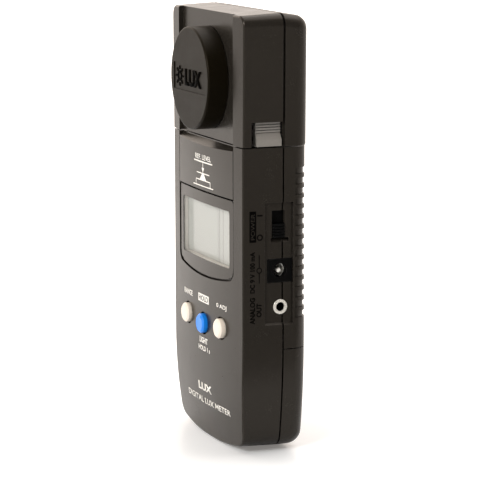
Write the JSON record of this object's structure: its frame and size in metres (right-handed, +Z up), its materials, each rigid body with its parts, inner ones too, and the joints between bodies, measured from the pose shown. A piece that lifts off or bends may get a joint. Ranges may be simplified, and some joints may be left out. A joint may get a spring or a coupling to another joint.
{
  "type": "lux meter",
  "caption": "Handheld digital light meter with a detachable sensor head, push-on diffuser cap, display window, push buttons, side switch and jacks.",
  "frame": {"origin": "middle of the flat on the underside, on which the instrument stands", "axes": "+Z up along the instrument's length, -Y towards the user out of the face, +X to the instrument's right as the user sees it (the connector side)"},
  "size_m": [0.076, 0.035, 0.1714],
  "materials": {
    "case_plastic": "fine moulded grain, dark warm grey",
    "panel_plastic": "satin dark grey panel",
    "cap_plastic": "soft matt black",
    "black_plastic": "black engineering plastic",
    "latch_plastic": "satin grey",
    "button_white": "satin off-white",
    "button_blue": "satin blue",
    "window_clear": "clear acrylic",
    "display_glass": "liquid-crystal display, grey-green",
    "light_guide": "white diffusing plastic",
    "elastomer": "soft rubber",
    "circuit_board": "green solder mask",
    "chip_black": "moulded epoxy",
    "steel": "zinc-plated steel",
    "nickel": "bright nickel plate",
    "gold_contact": "gold-flashed brass",
    "opal": "opal acrylic",
    "filter_glass": "green colour-correction glass",
    "capacitor_sleeve": "printed sleeve",
    "trimmer_blue": "blue thermoset",
    "battery_jacket": "printed metal jacket",
    "red_insulation": "PVC",
    "black_insulation": "PVC",
    "foam": "open-cell foam",
    "label": "silver polyester film"
  },
  "bodies": {
    "body": {"front_case": "case_plastic", "back_case": "case_plastic", "battery_tray": "black_plastic", "top_panel": "panel_plastic", "display_window": "window_clear", "lcd_panel": "display_glass", "display_frame": "black_plastic", "backlight": "light_guide", "contact_strips": "elastomer", "key_switches": "black_plastic", "main_board": "circuit_board", "board_screws": "steel", "processor": "chip_black", "small_chips": "chip_black", "trimmers": "trimmer_blue", "capacitors": "capacitor_sleeve", "side_board": "circuit_board", "switch_housing": "black_plastic", "dc_jack_housing": "black_plastic", "dc_jack_pin": "nickel", "dc_jack_spring": "nickel", "output_jack_housing": "black_plastic", "output_jack_ring": "nickel", "body_socket": "black_plastic", "socket_pins": "gold_contact", "battery": "battery_jacket", "battery_terminals": "nickel", "battery_snap": "black_plastic", "red_wire": "red_insulation", "black_wire": "black_insulation", "battery_pad": "foam", "rating_label": "label", "case_screws": "steel"},
    "head": {"head_front_case": "case_plastic", "head_rear_case": "case_plastic", "head_screws": "steel", "sensor_collar": "black_plastic", "collar_nut": "black_plastic", "diffuser": "opal", "colour_filter": "filter_glass", "photodiode": "nickel", "sensor_board": "circuit_board", "head_plug": "black_plastic", "head_lead": "label", "latch_springs": "steel"},
    "sensor_cap": {"sensor_cap": "cap_plastic"},
    "latch_right": {"latch_right": "latch_plastic"},
    "latch_left": {"latch_left": "latch_plastic"},
    "battery_cover": {"battery_cover": "case_plastic"},
    "range_button": {"range_button": "button_white"},
    "hold_button": {"hold_button": "button_blue"},
    "zero_button": {"zero_button": "button_white"},
    "power_knob": {"power_knob": "black_plastic"}
  },
  "joints": [
    {"name": "head_lift", "type": "slide", "parent": "body", "child": "head", "axis": [0, 0, 1], "range_m": [0, 0.025]},
    {"name": "cap_pull", "type": "slide", "parent": "head", "child": "sensor_cap", "axis": [0, -1, 0], "range_m": [0, 0.015]},
    {"name": "latch_right_press", "type": "slide", "parent": "head", "child": "latch_right", "axis": [-1, 0, 0], "range_m": [0, 0.0014], "stiffness_N_per_m": 900, "springref_m": -0.0005},
    {"name": "latch_left_press", "type": "slide", "parent": "head", "child": "latch_left", "axis": [1, 0, 0], "range_m": [0, 0.0014], "stiffness_N_per_m": 900, "springref_m": -0.0005},
    {"name": "range_press", "type": "slide", "parent": "body", "child": "range_button", "axis": [0, 1, 0], "range_m": [0, 0.0008], "stiffness_N_per_m": 600, "springref_m": -0.0004},
    {"name": "hold_press", "type": "slide", "parent": "body", "child": "hold_button", "axis": [0, 1, 0], "range_m": [0, 0.0008], "stiffness_N_per_m": 600, "springref_m": -0.0004},
    {"name": "zero_press", "type": "slide", "parent": "body", "child": "zero_button", "axis": [0, 1, 0], "range_m": [0, 0.0008], "stiffness_N_per_m": 600, "springref_m": -0.0004},
    {"name": "power_slide", "type": "slide", "parent": "body", "child": "power_knob", "axis": [0, 0, 1], "range_m": [0, 0.0051]},
    {"name": "cover_pull", "type": "slide", "parent": "body", "child": "battery_cover", "axis": [0, 1, 0], "range_m": [0, 0.02]}
  ]
}
